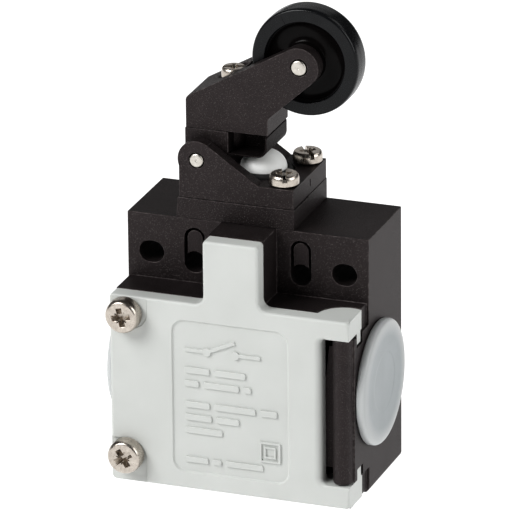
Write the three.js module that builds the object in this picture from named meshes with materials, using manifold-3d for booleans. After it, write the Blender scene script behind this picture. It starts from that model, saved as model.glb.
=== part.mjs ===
// Limit switch with a pivoted lever and roller on a plastic head, 50 mm wide enclosure, two M20 entries.
// Millimetres, +Z up, front at -Y, fixing face on y = 0. Heights in this file are measured from the
// underside of the enclosure; the whole group is then lowered so that the origin lies on the fixing
// face, half way between the two fixing holes.
import * as THREE from "three";
import { mergeVertices } from "three/addons/utils/BufferGeometryUtils.js";
import Module from "manifold-3d";

const wasm = await Module();
wasm.setup();

// ---- driving dimensions ----
const GAP = 0.3; // left between neighbouring pieces
const BODY_HALF_WIDTH = 25;
const BODY_DEPTH = 19.5; // rear box
const BODY_HEIGHT = 53.1;
const LEDGE_HEIGHT = 39.8; // front portion and cover
const FIXING_HEIGHT = 45.2; // line of the two fixing holes
const FIXING_X = 20; // half of the 40 mm hole spacing
const FRONT_Y = -26.7; // front rim of the base
const COVER_BACK_Y = -27;
const COVER_FRONT_Y = -30.4;
const ENTRY_Y = -15.2; // axis of the M20 entries
const ENTRY_Z = 22.05;
const ENTRY_R = 10;
const HINGE_X = 22.6; // cover hinge axis, parallel to Z
const HINGE_Y = -28;
const COVER_SCREW_X = -21.4;
const COVER_SCREW_Z = { upper: 36.2, lower: 6.5 };
const PLUNGER_Y = -9.9; // plunger axis, x = 0
const HEAD_SPLIT_Z = 57.3; // parting line between head base and bracket
const BRACKET_TOP_Z = 61.4;
const HEAD_SCREW = { x: 6.7, front: -16.6, rear: -3.1 };
const PIVOT = { x: -10.4, z: 65.3, r: 1.42 }; // lever pivot, parallel to Y
const LEVER_Y = [-15.85, -4.15];
const AXLE = { x: 9.55, z: 85.4, r: 1.55 };
const ROLLER_R = 11;
const ROLLER_Y = [-12.6, -7.4];

// ---- solids ----
function solid(geometry) {
  geometry.deleteAttribute("normal");
  geometry.deleteAttribute("uv");
  const merged = mergeVertices(geometry, 1e-4);
  return new wasm.Manifold(
    new wasm.Mesh({
      numProp: 3,
      vertProperties: merged.attributes.position.array,
      triVerts: new Uint32Array(merged.index.array),
    }),
  );
}

function box(x0, x1, y0, y1, z0, z1) {
  const geometry = new THREE.BoxGeometry(x1 - x0, y1 - y0, z1 - z0);
  geometry.translate((x0 + x1) / 2, (y0 + y1) / 2, (z0 + z1) / 2);
  return solid(geometry);
}

// Cylinders along each axis; the two centre values are in the order x, y, z.
function cylinderX(y, z, r, x0, x1, segments = 24) {
  const geometry = new THREE.CylinderGeometry(r, r, x1 - x0, segments);
  geometry.rotateZ(Math.PI / 2).translate((x0 + x1) / 2, y, z);
  return solid(geometry);
}

function cylinderY(x, z, r, y0, y1, segments = 24) {
  const geometry = new THREE.CylinderGeometry(r, r, y1 - y0, segments);
  geometry.translate(x, (y0 + y1) / 2, z);
  return solid(geometry);
}

function cylinderZ(x, y, r, z0, z1, segments = 24) {
  const geometry = new THREE.CylinderGeometry(r, r, z1 - z0, segments);
  geometry.rotateX(Math.PI / 2).translate(x, y, (z0 + z1) / 2);
  return solid(geometry);
}

// A polygon whose corners are rounded; each point is [a, b] or [a, b, radius].
function outline(points, steps = 3) {
  const shape = new THREE.Shape();
  const count = points.length;
  points.forEach((point, i) => {
    const radius = point[2] || 0;
    const corner = new THREE.Vector2(point[0], point[1]);
    if (!radius) {
      if (i === 0) shape.moveTo(corner.x, corner.y);
      else shape.lineTo(corner.x, corner.y);
      return;
    }
    const before = points[(i + count - 1) % count];
    const after = points[(i + 1) % count];
    const toBefore = new THREE.Vector2(before[0], before[1]).sub(corner).normalize();
    const toAfter = new THREE.Vector2(after[0], after[1]).sub(corner).normalize();
    const halfAngle = Math.acos(toBefore.dot(toAfter)) / 2;
    const run = radius / Math.tan(halfAngle);
    const centre = toBefore.clone().add(toAfter).normalize();
    centre.multiplyScalar(radius / Math.sin(halfAngle)).add(corner);
    const start = toBefore.multiplyScalar(run).add(corner).sub(centre);
    const end = toAfter.multiplyScalar(run).add(corner).sub(centre);
    let sweep = end.angle() - start.angle();
    if (sweep > Math.PI) sweep -= 2 * Math.PI;
    if (sweep < -Math.PI) sweep += 2 * Math.PI;
    for (let k = 0; k <= steps; k++) {
      const angle = start.angle() + (sweep * k) / steps;
      const x = centre.x + radius * Math.cos(angle);
      const y = centre.y + radius * Math.sin(angle);
      if (i === 0 && k === 0) shape.moveTo(x, y);
      else shape.lineTo(x, y);
    }
  });
  shape.closePath();
  return shape;
}

// A rectangle's corner points, each with the same rounding.
function rectangle(a0, a1, b0, b1, radius = 0) {
  return [
    [a0, b0, radius],
    [a1, b0, radius],
    [a1, b1, radius],
    [a0, b1, radius],
  ];
}

function extruded(points, depth, bevel, steps) {
  const shape = outline(points, steps);
  return new THREE.ExtrudeGeometry(shape, {
    depth: bevel ? depth - 2 * bevel : depth,
    bevelEnabled: Boolean(bevel),
    bevelThickness: bevel,
    bevelSize: bevel,
    bevelOffset: -bevel,
    bevelSegments: 1,
  }).translate(0, 0, bevel || 0);
}

// Extrusions along each axis: the outline is in (y, z), (x, z) or (x, y).
function extrudeX(points, x0, x1, bevel = 0, steps = 3) {
  const geometry = extruded(points, x1 - x0, bevel, steps);
  const turn = new THREE.Matrix4().makeBasis(
    new THREE.Vector3(0, 1, 0),
    new THREE.Vector3(0, 0, 1),
    new THREE.Vector3(1, 0, 0),
  );
  return solid(geometry.applyMatrix4(turn).translate(x0, 0, 0));
}

function extrudeY(points, y0, y1, bevel = 0, steps = 3) {
  const geometry = extruded(points, y1 - y0, bevel, steps);
  return solid(geometry.rotateX(Math.PI / 2).translate(0, y1, 0));
}

function extrudeZ(points, z0, z1, bevel = 0, steps = 3) {
  return solid(extruded(points, z1 - z0, bevel, steps).translate(0, 0, z0));
}

// A turned piece on the Z axis from [radius, height] points, closed on the axis or on itself.
function turned(points, segments = 32) {
  const profile = points.map(([r, z]) => new THREE.Vector2(r, z));
  return new THREE.LatheGeometry(profile, segments).rotateX(Math.PI / 2);
}

// The same piece laid along -Y: its heights become distances towards the front.
function turnedFront(points, x, z, y, segments = 32) {
  const geometry = turned(points, segments);
  return solid(geometry.rotateX(Math.PI / 2).translate(x, y, z));
}

function turnedUp(points, x, y, z, segments = 32) {
  return solid(turned(points, segments).translate(x, y, z));
}

// Along +X (side = 1) or -X (side = -1).
function turnedSide(points, side, y, z, segments = 32) {
  const geometry = turned(points, segments);
  return solid(geometry.rotateY((side * Math.PI) / 2).translate(0, y, z));
}

function joined(...solids) {
  return solids.reduce((sum, next) => sum.add(next));
}

function cut(from, ...tools) {
  return tools.reduce((rest, tool) => rest.subtract(tool), from);
}

class Helix extends THREE.Curve {
  constructor(radius, height, turns) {
    super();
    Object.assign(this, { radius, height, turns });
  }
  getPoint(t, target = new THREE.Vector3()) {
    const angle = 2 * Math.PI * this.turns * t;
    const x = this.radius * Math.cos(angle);
    const y = this.radius * Math.sin(angle);
    return target.set(x, y, this.height * t);
  }
}

// A coil spring standing on (x, y, z0); its ends are the cut wire.
function spring(x, y, z0, z1, radius, wire, turns, perTurn) {
  const section = new THREE.Shape();
  section.absarc(0, 0, wire / 2, 0, 2 * Math.PI);
  const geometry = new THREE.ExtrudeGeometry(section, {
    steps: Math.round(turns * perTurn),
    curveSegments: 3,
    bevelEnabled: false,
    extrudePath: new Helix(radius, z1 - z0 - wire, turns),
  });
  return solid(geometry.translate(x, y, z0 + wire / 2));
}

// ---- materials ----
function material(color, roughness, metalness = 0) {
  return new THREE.MeshStandardMaterial({ color, roughness, metalness });
}

const MATERIAL = {
  housing: () => material("#2e2b2b", 0.6),
  cover: () => material("#d9dcd8", 0.5),
  plug: () => material("#b4babc", 0.35),
  white: () => material("#eceae4", 0.3),
  roller: () => material("#14151a", 0.28),
  rubber: () => material("#1b1b1b", 0.85),
  screw: () => material("#b9b2a8", 0.3, 1),
  spring: () => material("#9c9ea0", 0.35, 1),
  brass: () => material("#b99a55", 0.35, 1),
  silver: () => material("#c9c7c0", 0.3, 1),
  carrier: () => material("#8d2f28", 0.5),
};

const group = new THREE.Group();

function place(name, made, surface) {
  const { vertProperties, triVerts } = made.getMesh();
  const geometry = new THREE.BufferGeometry();
  geometry.setAttribute("position", new THREE.BufferAttribute(vertProperties, 3));
  geometry.setIndex(new THREE.BufferAttribute(triVerts, 1));
  geometry.computeVertexNormals();
  const mesh = new THREE.Mesh(geometry, MATERIAL[surface]());
  mesh.name = name;
  mesh.position.z = -FIXING_HEIGHT;
  group.add(mesh);
}

// ---- enclosure ----
const HINGE_BAR_Z = [5.5, 35.5];
const KNUCKLE_R = 5.6;
const KNUCKLE_POCKET_R = 6;
const CAVITY = { x: [-21.8, 13], y: [-28, -2.6], z: [3, 36.8] };
const CHANNEL_X = [-4, 4]; // above the cavity, behind the cover's tongue
const SLOT_X = 11; // the second pair of fixings, 22 mm apart
const SLOT_HALF_WIDTH = 2.1;
const SLOT_Z = [41.9, 51.1];

function knucklePockets() {
  const upper = cylinderZ(HINGE_X, HINGE_Y, KNUCKLE_POCKET_R, 35.5, 41, 48);
  const lower = cylinderZ(HINGE_X, HINGE_Y, KNUCKLE_POCKET_R, -1, 5.5, 48);
  return joined(upper, lower);
}

// Ring-shaped grooves in the hinge block in which the cover's hooks turn.
function hookGrooves() {
  const ring = (z0, z1) =>
    cut(
      cylinderZ(HINGE_X, HINGE_Y, 5.35, z0, z1, 48),
      cylinderZ(HINGE_X, HINGE_Y, 2.75, z0 - 1, z1 + 1, 48),
    );
  return joined(ring(33.2, 35.6), ring(5.4, 7.7));
}

function hingeBlock() {
  const bar = cylinderZ(HINGE_X, HINGE_Y, 2.4, ...HINGE_BAR_Z, 32);
  const root = box(20.2, BODY_HALF_WIDTH, HINGE_Y, FRONT_Y + 0.1, ...HINGE_BAR_Z);
  return joined(bar, root);
}

function enclosureShell() {
  const section = [
    [-BODY_HALF_WIDTH, 0, 1.2],
    [BODY_HALF_WIDTH, 0, 1.2],
    [BODY_HALF_WIDTH, BODY_HEIGHT],
    [-BODY_HALF_WIDTH, BODY_HEIGHT],
  ];
  const rear = extrudeY(section, -BODY_DEPTH, 0);
  const front = box(-24.7, 24.4, FRONT_Y, -BODY_DEPTH + 1, 0, LEDGE_HEIGHT);
  const flank = box(20, BODY_HALF_WIDTH, FRONT_Y, -BODY_DEPTH + 1, ...HINGE_BAR_Z);
  const neck = box(-5.5, 6, FRONT_Y, -BODY_DEPTH + 1, LEDGE_HEIGHT - 1, BODY_HEIGHT);
  return joined(rear, front, flank, neck);
}

function cavities() {
  const { x, y, z } = CAVITY;
  const chamber = box(...x, ...y, ...z);
  const corners = joined(
    box(-22, -17.6, -29, 0, 31.4, 40),
    box(-22, -17.6, -29, 0, 0, 11.2),
  );
  const channel = box(...CHANNEL_X, -28, -5.6, 36, 50.6);
  const guide = cylinderZ(0, PLUNGER_Y, 2.6, 50, 54, 24);
  return joined(cut(chamber, corners), channel, guide);
}

// Ribs that locate the contact block in the chamber.
function blockRibs() {
  const ribs = [8, 33].flatMap((z) => [
    box(-11.4, -10.3, -9, CAVITY.y[1] + 0.5, z, z + 1.5),
    box(10.3, CAVITY.x[1] + 0.5, -9, CAVITY.y[1] + 0.5, z, z + 1.5),
  ]);
  return joined(...ribs);
}

function fixingHoles() {
  const tools = [];
  for (const side of [-1, 1]) {
    const x = side * FIXING_X;
    const x0 = x - 2.55;
    const x1 = x + 2.55;
    const hole = rectangle(x0, x1, FIXING_HEIGHT - 2.2, FIXING_HEIGHT + 2.2, 2.1);
    tools.push(extrudeY(hole, -BODY_DEPTH - 1, 1, 0, 4));
    const slotX0 = side * SLOT_X - SLOT_HALF_WIDTH;
    const slot = rectangle(slotX0, slotX0 + 2 * SLOT_HALF_WIDTH, ...SLOT_Z, 1.9);
    tools.push(extrudeY(slot, -BODY_DEPTH - 1, 1, 0, 4));
  }
  return joined(...tools);
}

function slotRims() {
  const rims = [-1, 1].map((side) => {
    const x0 = side * SLOT_X - SLOT_HALF_WIDTH;
    const x1 = x0 + 2 * SLOT_HALF_WIDTH;
    const rim = rectangle(x0 - 0.55, x1 + 0.55, SLOT_Z[0] - 0.55, SLOT_Z[1] + 0.55, 2.4);
    return extrudeY(rim, -BODY_DEPTH - 0.15, -BODY_DEPTH + 1, 0, 4);
  });
  return joined(...rims);
}

function enclosureBase() {
  const screwBores = Object.values(COVER_SCREW_Z).map((z) =>
    cylinderY(COVER_SCREW_X, z, 2.3, -28, -20, 20),
  );
  const headBores = [HEAD_SCREW.front, HEAD_SCREW.rear].map((y) =>
    cylinderZ(HEAD_SCREW.x, y, 1.6, 46.5, 54, 16),
  );
  const gasketGroove = cut(
    cylinderZ(0, PLUNGER_Y, 5, 51.9, 54, 32),
    cylinderZ(0, PLUNGER_Y, 3.4, 51, 55, 32),
  );
  const entries = joined(
    cylinderX(ENTRY_Y, ENTRY_Z, ENTRY_R, 12, 26, 48),
    cylinderX(ENTRY_Y, ENTRY_Z, ENTRY_R, -26, -17, 48),
  );
  const shell = cut(
    joined(enclosureShell(), slotRims()),
    knucklePockets(),
    cavities(),
    fixingHoles(),
    entries,
  );
  return cut(
    joined(shell, hingeBlock(), blockRibs()),
    hookGrooves(),
    cylinderZ(HINGE_X, HINGE_Y, 1.1, 5, 36, 16),
    ...screwBores,
    ...headBores,
    gasketGroove,
  );
}

// Fills the upper part of a slot, leaving a round fixing hole below it.
function slotInsert(side) {
  const x = side * SLOT_X;
  const half = SLOT_HALF_WIDTH - GAP;
  const block = extrudeY(
    rectangle(x - half, x + half, 44.2, SLOT_Z[1] - GAP, 1.6),
    -BODY_DEPTH + 1.2,
    -1,
    0,
    4,
  );
  return cut(block, cylinderY(x, 44, 2.05, -BODY_DEPTH, 0, 24));
}

// A hollow closing plug; radius and distance from the middle plane of the enclosure.
function entryPlug() {
  const head = 12.57;
  return [
    [0, 24.6],
    [8.3, 24.6],
    [8.3, 17.4],
    [9.3, 17.4],
    [9.65, 18],
    [9.65, 25.3],
    [head, 25.3],
    [head, 26.1],
    [head - 0.12, 26.6],
    [11.9, 26.9],
    [10.2, 26.9],
    [8.2, 26.6],
    [7.2, 26.3],
    [0, 26.3],
  ];
}

// ---- cover ----
function coverOutline() {
  return [
    [-24.9, 0.6, 0.8],
    [24.65, 0.6, 0.8],
    [24.65, 5.2],
    [19.6, 5.2, 1.3],
    [19.6, 35.8, 1.3],
    [24.65, 35.8],
    [24.65, LEDGE_HEIGHT, 0.8],
    [6.05, LEDGE_HEIGHT, 1.8],
    [6.05, BODY_HEIGHT],
    [-5.4, BODY_HEIGHT],
    [-5.4, LEDGE_HEIGHT, 1.8],
    [-24.9, LEDGE_HEIGHT, 0.8],
  ];
}

function coverPlate() {
  const deep = extrudeY(coverOutline(), COVER_FRONT_Y, COVER_BACK_Y + 1, 0.65);
  return cut(deep, box(-30, 30, COVER_BACK_Y, 0, -1, 60));
}

function knuckles() {
  const reach = box(16, 24.65, COVER_FRONT_Y + 0.7, -20, -1, 60);
  const plates = [
    [0.6, 5.2],
    [35.8, LEDGE_HEIGHT],
  ].map((z) => cylinderZ(HINGE_X, HINGE_Y, KNUCKLE_R, ...z, 48));
  const hooks = [
    [5, 7.4],
    [33.5, 36],
  ].map((z) =>
    cut(
      cylinderZ(HINGE_X, HINGE_Y, 5, ...z, 48),
      cylinderZ(HINGE_X, HINGE_Y, 3.1, 0, 40, 48),
      box(10, HINGE_X, -40, -20, 0, 40),
      box(10, 30, -40, HINGE_Y + 1.6, 0, 40),
    ),
  );
  return joined(...plates, ...hooks).intersect(reach);
}

const SEAL_PATH = [
  [-23.5, 12.4],
  [-18.8, 12.4],
  [-18.8, 1.7],
  [15.2, 1.7],
  [15.2, 38.6],
  [4.6, 38.6],
  [4.6, 51.8],
  [-4.2, 51.8],
  [-4.2, 38.6],
  [-18.8, 38.6],
  [-18.8, 30.2],
  [-23.5, 30.2],
];

// Moves each side of a right-angled loop outwards.
function grown(path, by) {
  const area = path.reduce((sum, [x, z], i) => {
    const [nextX, nextZ] = path[(i + 1) % path.length];
    return sum + x * nextZ - nextX * z;
  }, 0);
  const turn = Math.sign(area);
  return path.map(([x, z], i) => {
    const [px, pz] = path[(i + path.length - 1) % path.length];
    const [nx, nz] = path[(i + 1) % path.length];
    const into = [Math.sign(x - px), Math.sign(z - pz)];
    const out = [Math.sign(nx - x), Math.sign(nz - z)];
    const shiftX = (into[1] + out[1]) * turn * by;
    const shiftZ = -(into[0] + out[0]) * turn * by;
    return [x + shiftX, z + shiftZ];
  });
}

function sealRing(inner, outer, y0, y1) {
  const ring = extrudeY(grown(SEAL_PATH, outer), y0, y1);
  return cut(ring, extrudeY(grown(SEAL_PATH, -inner), y0 - 1, y1 + 1));
}

function coverPanel() {
  const panel = rectangle(-11.6, 11.8, 4.6, 35.65, 1.8);
  return extrudeY(panel, COVER_FRONT_Y - 1, COVER_FRONT_Y + 0.25, 0, 4);
}

function coverCornerPockets() {
  const lower = [
    [-30, -5],
    [-17.5, -5],
    [-17.5, 9.6, 4],
    [-30, 9.6],
  ];
  const upper = [
    [-30, 45],
    [-30, 33],
    [-17.1, 33, 3.5],
    [-17.1, 45],
  ];
  return joined(
    extrudeY(lower, COVER_FRONT_Y - 1, COVER_FRONT_Y + 0.4, 0, 5),
    extrudeY(upper, COVER_FRONT_Y - 1, COVER_FRONT_Y + 0.15, 0, 5),
  );
}

function enclosureCover() {
  const screwHoles = Object.values(COVER_SCREW_Z).map((z) =>
    cylinderY(COVER_SCREW_X, z, 2.1, -32, -26, 20),
  );
  const hollow = rectangle(-13, 12.5, 7, 33.5, 1.5);
  return cut(
    joined(coverPlate(), knuckles()),
    coverPanel(),
    coverCornerPockets(),
    ...screwHoles,
    sealRing(0.9, 0.9, -28, -26),
    extrudeY(hollow, -28.1, -26, 0, 2),
    cylinderZ(HINGE_X, HINGE_Y, 1.1, 1.6, 38.4, 16),
  );
}

// ---- screws ----
// A pan head along -Y with a cross recess and a slot; radius, height and shaft sizes in mm.
function screwHead({ head, face, height, shaft, length }) {
  return [
    [0, -length],
    [shaft * 0.55, -length],
    [shaft, -length + shaft * 0.5],
    [shaft, 0],
    [head, 0],
    [head, height * 0.5],
    [(head + face) / 2, height * 0.86],
    [face, height],
    [0, height],
  ];
}

function recessFront(x, z, top, depth, reach, width) {
  const y0 = top - 1;
  const y1 = top + depth;
  return joined(
    box(x - reach, x + reach, y0, y1, z - width / 2, z + width / 2),
    box(x - width / 2, x + width / 2, y0, y1, z - reach, z + reach),
  );
}

function recessTop(x, y, top, depth, reach, width) {
  return joined(
    box(x - reach, x + reach, y - width / 2, y + width / 2, top - depth, top + 1),
    box(x - width / 2, x + width / 2, y - reach, y + reach, top - depth, top + 1),
  );
}

function coverScrew(end) {
  const z = COVER_SCREW_Z[end];
  const size = { head: 3.5, face: 2.9, height: 2.85, shaft: 1.7, length: 7.3 };
  const made = turnedFront(screwHead(size), COVER_SCREW_X, z, COVER_FRONT_Y - 0.15, 28);
  return cut(made, recessFront(COVER_SCREW_X, z, -33.4, 1.3, 1.9, 0.9));
}

function headScrew(y) {
  const size = { head: 2.95, face: 2.4, height: 2.1, shaft: 1.3, length: 14 };
  const z = BRACKET_TOP_Z + GAP;
  const made = turnedUp(screwHead(size), HEAD_SCREW.x, y, z, 24);
  return cut(made, recessTop(HEAD_SCREW.x, y, z + 2.1, 1, 1.6, 0.8));
}

// ---- head ----
function headBase() {
  const profile = [
    [-14.7, 53.4],
    [9.64, 53.4],
    [9.64, HEAD_SPLIT_Z - 0.15],
    [-14.4, HEAD_SPLIT_Z - 0.15],
  ];
  const bores = [HEAD_SCREW.front, HEAD_SCREW.rear].map((y) =>
    cylinderZ(HEAD_SCREW.x, y, 1.8, 53, 58, 16),
  );
  return cut(
    extrudeY(profile, -19.6, -0.2),
    cylinderZ(0, PLUNGER_Y, 4.95, 55, 58, 32),
    cylinderZ(0, PLUNGER_Y, 2.6, 53, 56, 24),
    ...bores,
  );
}

const EAR_R = 3.95;

function bracketEar(y0, y1) {
  const slope = [
    [-14.1, BRACKET_TOP_Z - 0.5],
    [2.2, BRACKET_TOP_Z - 0.5],
    [2.16, 61.5],
    [-8.1, 68.54],
    [PIVOT.x, PIVOT.z],
    [-14.1, PIVOT.z],
  ];
  return joined(
    extrudeY(slope, y0, y1),
    cylinderY(PIVOT.x, PIVOT.z, EAR_R, y0, y1, 40),
  );
}

function headBracket() {
  const base = box(-14.1, 9.55, -19.5, -0.25, HEAD_SPLIT_Z + 0.15, BRACKET_TOP_Z);
  const ears = joined(bracketEar(-19.5, -16.9), bracketEar(-3.1, -0.25));
  const bores = [HEAD_SCREW.front, HEAD_SCREW.rear].map((y) =>
    cylinderZ(HEAD_SCREW.x, y, 1.8, 57, 62, 16),
  );
  const tailPocket = box(-15, -5.2, -16.4, -3.6, 59.6, 63);
  const pin = cylinderY(PIVOT.x, PIVOT.z, PIVOT.r + GAP, -20, 1, 24);
  return cut(
    joined(base, ears),
    ...bores,
    pin,
    tailPocket,
    cylinderZ(0, PLUNGER_Y, 4.95, 57, 63, 32),
    cylinderZ(0, PLUNGER_Y, 6.1, 60.1, 63, 32),
  );
}

function plunger() {
  const dome = [];
  for (let i = 0; i <= 7; i++) {
    const angle = (Math.PI / 2) * (i / 7);
    dome.push([4.65 * Math.cos(angle), 61.9 + 3.7 * Math.sin(angle)]);
  }
  dome[dome.length - 1][0] = 0;
  const skirt = [
    [0, 48.5],
    [2, 48.5],
    [2.3, 48.8],
    [2.3, 61.5],
    [3.9, 61.5],
    [3.9, 58],
    [4.65, 58],
  ];
  return turnedUp([...skirt, ...dome], 0, PLUNGER_Y, 0, 32);
}

function wiperRing() {
  const profile = [
    [4.95, 60.5],
    [5.8, 60.5],
    [5.8, 61.5],
    [5.45, 61.8],
    [4.95, 61.6],
    [4.95, 60.5],
  ];
  return turnedUp(profile, 0, PLUNGER_Y, 0, 32);
}

function flatRing(inner, outer, z0, z1) {
  const profile = [
    [inner, z0],
    [outer, z0],
    [outer, z1],
    [inner, z1],
    [inner, z0],
  ];
  return turnedUp(profile, 0, PLUNGER_Y, 0, 32);
}

// ---- lever and roller ----
const LEVER_BOSS_R = 2.9;

function leverArm() {
  const side = [
    [-14.1, 65.9, 0.5],
    [2.8, 65.9, 2],
    [2.8, 70.35],
    [-14.1, 70.35, 0.5],
  ];
  const pockets = joined(
    box(-5.1, 1.2, -17, -12.1, 66.5, 71),
    box(-5.1, 1.2, -7.9, -3, 66.5, 71),
  );
  const post = cylinderZ(FORK_SCREW.x, FORK_SCREW.y, 2.7, 66, 70.35, 24);
  const boss = cylinderY(PIVOT.x, PIVOT.z, LEVER_BOSS_R, ...LEVER_Y, 32);
  return cut(
    joined(cut(extrudeY(side, ...LEVER_Y), pockets), post, boss),
    cylinderY(PIVOT.x, PIVOT.z, PIVOT.r + GAP, -17, -3, 24),
    cylinderZ(FORK_SCREW.x, FORK_SCREW.y, 1.7, 64, 72, 16),
  );
}

const FORK_SCREW = { x: -5.9, y: -10 };
const CHEEK = 2.9;

function forkOutline() {
  const upper = [Math.sin(0.515), Math.cos(0.515)];
  const lower = [Math.sin(0.747), Math.cos(0.747)];
  const points = [
    [-13.9, 70.65],
    [-13.9, 76.2],
    [-13.5, 76.75],
    [-12.8, 77.5],
    [AXLE.x - 4 * upper[0], AXLE.z + 4 * upper[1]],
    [AXLE.x, AXLE.z],
    [AXLE.x + 4 * lower[0], AXLE.z - 4 * lower[1]],
    [3.6, 74.55],
    [3.05, 73.4],
    [3.05, 70.65],
  ];
  return points.reverse();
}

function rollerFork() {
  const eye = cylinderY(AXLE.x, AXLE.z, 4, ...LEVER_Y, 40);
  const whole = joined(extrudeY(forkOutline(), ...LEVER_Y), eye);
  const inner = [LEVER_Y[0] + CHEEK, LEVER_Y[1] - CHEEK];
  const wheelWay = extrudeY(
    [
      [-2.5, 75.2],
      [30, 75.2],
      [30, 100],
      [-2.5, 100],
    ],
    ...inner,
  );
  const screwWay = cylinderZ(FORK_SCREW.x, FORK_SCREW.y, 3.05, 79.6, 90, 28);
  return cut(
    whole,
    wheelWay,
    screwWay,
    cylinderZ(FORK_SCREW.x, FORK_SCREW.y, 1.7, 70, 80, 16),
    cylinderY(AXLE.x, AXLE.z, AXLE.r + GAP, -17, -3, 24),
  );
}

function forkScrew() {
  const size = { head: 2.5, face: 2, height: 2.2, shaft: 1.35, length: 12.6 };
  const z = 79.9;
  const made = turnedUp(screwHead(size), FORK_SCREW.x, FORK_SCREW.y, z, 24);
  return cut(made, recessTop(FORK_SCREW.x, FORK_SCREW.y, z + 2.2, 1, 1.4, 0.7));
}

function pin(x, z, r, y0, y1, dimple) {
  const length = y1 - y0;
  const profile = [
    [0, 0],
    [r - 0.25, 0],
    [r, 0.25],
    [r, length - 0.25],
    [r - 0.25, length],
    [dimple, length],
    [0, length - dimple],
  ];
  return turnedFront(profile, x, z, y1, 24);
}

function roller() {
  const half = (ROLLER_Y[1] - ROLLER_Y[0]) / 2;
  const side = [
    [AXLE.r + GAP, half],
    [3.1, half],
    [3.1, half - 0.9],
    [8.3, half - 1.5],
    [8.3, half],
    [ROLLER_R - 0.8, half],
    [ROLLER_R, half - 0.6],
  ];
  const other = side.map(([r, y]) => [r, -y]);
  const profile = [...other, ...side.reverse(), other[0]];
  return turnedFront(profile, AXLE.x, AXLE.z, (ROLLER_Y[0] + ROLLER_Y[1]) / 2, 48);
}

// ---- contact block ----
const BLOCK = { x: [-10, 10], back: -3.2, face: -17.4, front: -24, z: [5, 36.4] };
const CONTACT = {
  // Height of the fixed strip, which way its terminal tab runs, and the bridge's height.
  nc: { strip: [27, 28], tab: [27, 33.6], screw: 30.9, bridge: [25.9, 26.7] },
  no: { strip: [15, 16], tab: [9.4, 16], screw: 12.1, bridge: [18.6, 19.4] },
};
const TERMINAL_X = 6.2;
const CARRIER = { x: [-2, 2], y: [-11.9, -7.9], z: [13, 48.2] };

function contactHousing() {
  const body = box(...BLOCK.x, BLOCK.face, BLOCK.back, ...BLOCK.z);
  const neck = box(-3.7, 3.7, -14, -6, 36, 47);
  const divider = box(-1.1, 1.1, BLOCK.front, BLOCK.face + 1, ...BLOCK.z);
  const shelf = box(...BLOCK.x, BLOCK.front, BLOCK.face + 1, 20.4, 22.4);
  const sides = joined(
    box(BLOCK.x[0], BLOCK.x[0] + 0.7, BLOCK.front, BLOCK.face + 1, ...BLOCK.z),
    box(BLOCK.x[1] - 0.7, BLOCK.x[1], BLOCK.front, BLOCK.face + 1, ...BLOCK.z),
  );
  const strips = [];
  for (const kind of ["nc", "no"]) {
    const [z0, z1] = CONTACT[kind].strip;
    for (const side of [-1, 1]) {
      const [x0, x1] = side < 0 ? [-9, -3] : [3, 9];
      strips.push(box(x0, x1, BLOCK.face - 1, -7, z0 - GAP, z1 + GAP));
    }
  }
  const rooms = joined(
    box(-8.6, 8.6, -13.2, 0, 22.8, 29),
    box(-8.6, 8.6, -13.2, 0, 14.7, 20.2),
  );
  const shaft = box(-2.3, 2.3, -12.2, -7.6, 6.2, 50);
  const screwWells = ["nc", "no"].flatMap((kind) =>
    [-1, 1].map((side) =>
      cylinderY(side * TERMINAL_X, CONTACT[kind].screw, 1.8, -20, -13.6, 16),
    ),
  );
  return cut(
    joined(body, neck, divider, shelf, sides),
    ...strips,
    rooms,
    shaft,
    ...screwWells,
  );
}

function carrier() {
  const { x, y, z } = CARRIER;
  const windows = ["nc", "no"].map((kind) => {
    const [z0, z1] = CONTACT[kind].bridge;
    const low = kind === "nc" ? z0 - 3.2 : z0 - GAP;
    const high = kind === "nc" ? z1 + GAP : z1 + 3.2;
    return box(-3, 3, y[0] + 0.7, y[1] - 0.7, low, high);
  });
  return cut(box(...x, ...y, ...z), ...windows);
}

function bridge(kind) {
  const [z0, z1] = CONTACT[kind].bridge;
  return box(-7.2, 7.2, CARRIER.y[0] + 1, CARRIER.y[1] - 1, z0, z1);
}

function bridgeSpring(kind) {
  const [z0, z1] = CONTACT[kind].bridge;
  const [low, high] = kind === "nc" ? [z0 - 3, z0 - 0.2] : [z1 + 0.2, z1 + 3];
  return spring(0, PLUNGER_Y, low, high, 0.72, 0.3, 4, 10);
}

function fixedContact(kind, side) {
  const { strip, tab, screw } = CONTACT[kind];
  const [x0, x1] = side < 0 ? [-8.7, -3.3] : [3.3, 8.7];
  return cut(
    joined(
      box(x0, x1, -18.7, -7.4, ...strip),
      box(x0, x1, -18.7, -17.7, ...tab),
    ),
    cylinderY(side * TERMINAL_X, screw, 1.8, -20, -17, 16),
  );
}

function terminalClamp(kind, side) {
  const { screw } = CONTACT[kind];
  const x = side * TERMINAL_X;
  const plate = extrudeY(
    rectangle(x - 2.5, x + 2.5, screw - 2.4, screw + 2.4, 0.5),
    -20.1,
    -19,
    0,
    1,
  );
  return cut(plate, cylinderY(x, screw, 1.8, -21, -18, 16));
}

function terminalScrew(kind, side) {
  const { screw } = CONTACT[kind];
  const x = side * TERMINAL_X;
  const size = { head: 2.4, face: 2.1, height: 1.7, shaft: 1.45, length: 6 };
  const made = turnedFront(screwHead(size), x, screw, -20.4, 20);
  return cut(made, recessFront(x, screw, -22.1, 0.8, 1.3, 0.7));
}

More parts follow.
